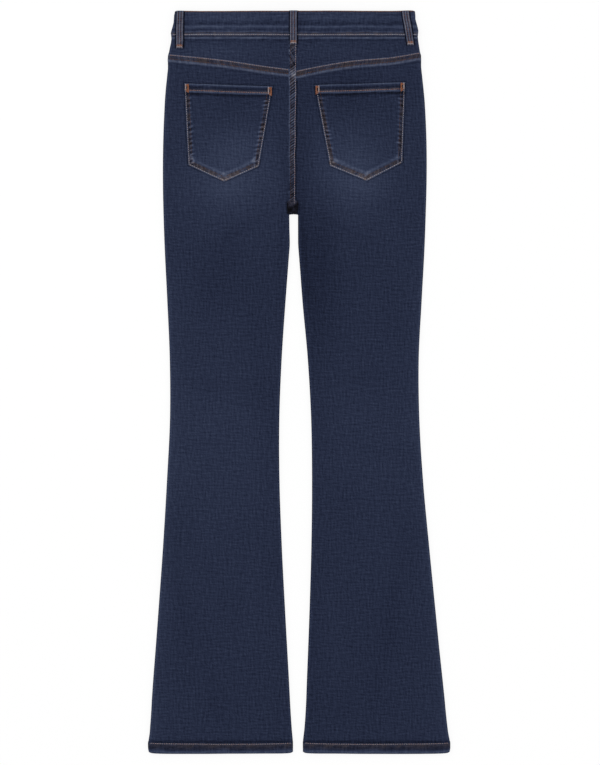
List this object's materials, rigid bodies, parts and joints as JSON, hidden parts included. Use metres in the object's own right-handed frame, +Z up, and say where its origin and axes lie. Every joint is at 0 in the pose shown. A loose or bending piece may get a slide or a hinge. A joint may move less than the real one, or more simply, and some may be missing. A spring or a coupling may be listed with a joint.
{
  "type": "flared jeans",
  "caption": "High-waisted flared denim jeans laid flat on their front, back side up, with yokes, patch pockets, belt loops and turned hems.",
  "frame": {"origin": "On the resting surface, under the middle of the garment's bounding box.", "axes": "+Y runs from the hems to the waist, +X to the wearer's right side, +Z up out of the garment's back."},
  "size_m": [0.4503, 1.11, 0.0168],
  "materials": {
    "denim": "dark indigo twill, washed, with faded seams",
    "worn_denim": "dark indigo twill, rubbed pale along its edges",
    "denim_reverse": "the paler inner face of the twill",
    "thread": "greyish tan and rust topstitching thread",
    "tape": "dark cotton zip tape",
    "zip_metal": "aged, satin",
    "button_metal": "aged copper tone, satin"
  },
  "bodies": {
    "root": {"waistband_back": "denim", "waistband_front_left": "denim", "waistband_front_right": "denim", "yoke_left": "denim", "yoke_right": "denim", "back_panel_left": "denim", "back_panel_right": "denim", "front_panel_left": "denim", "front_panel_right": "denim", "back_pocket_left": "denim", "back_pocket_right": "denim", "pocket_facing_left": "denim_reverse", "pocket_facing_right": "denim_reverse", "hem_back_left": "worn_denim", "hem_back_right": "worn_denim", "hem_front_left": "worn_denim", "hem_front_right": "worn_denim", "belt_loop_back": "worn_denim", "belt_loop_side_left": "worn_denim", "belt_loop_side_right": "worn_denim", "belt_loop_front_left": "worn_denim", "belt_loop_front_right": "worn_denim", "fly_facing": "denim_reverse", "fly_shield": "denim_reverse", "zip_tape": "tape", "zip_slider": "zip_metal", "button": "button_metal"}
  },
  "joints": []
}
